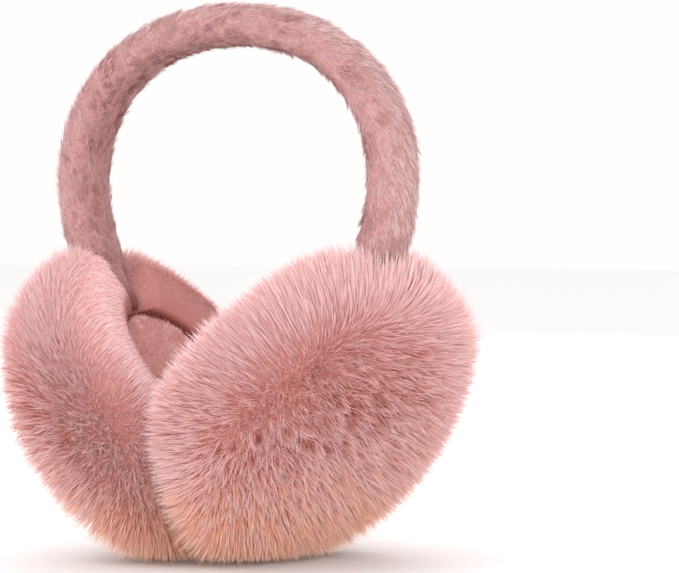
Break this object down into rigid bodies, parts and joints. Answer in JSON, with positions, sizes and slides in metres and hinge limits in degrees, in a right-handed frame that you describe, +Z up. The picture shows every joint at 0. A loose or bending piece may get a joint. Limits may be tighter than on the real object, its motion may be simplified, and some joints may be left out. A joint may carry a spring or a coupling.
{
  "type": "fur earmuffs",
  "caption": "Plush headband arch with a round deep-fur cup at each end, each with a rolled rim and a padded hollow for the ear.",
  "frame": {"origin": "on the ground midway between the two cups, under the middle of the headband", "axes": "+X to the cup at the right as seen from the front, -Y the front, +Z up the headband"},
  "size_m": [0.1762, 0.141, 0.1997],
  "materials": {
    "band_plush": "short dusty pink plush",
    "cup_fur": "deep dusty pink faux fur, paler at the tips",
    "pad_plush": "short rose pink plush"
  },
  "bodies": {
    "root": {"headband": "band_plush", "cup_fur_right": "cup_fur", "cup_fur_left": "cup_fur", "ear_pad_right": "pad_plush", "ear_pad_left": "pad_plush"}
  },
  "joints": []
}
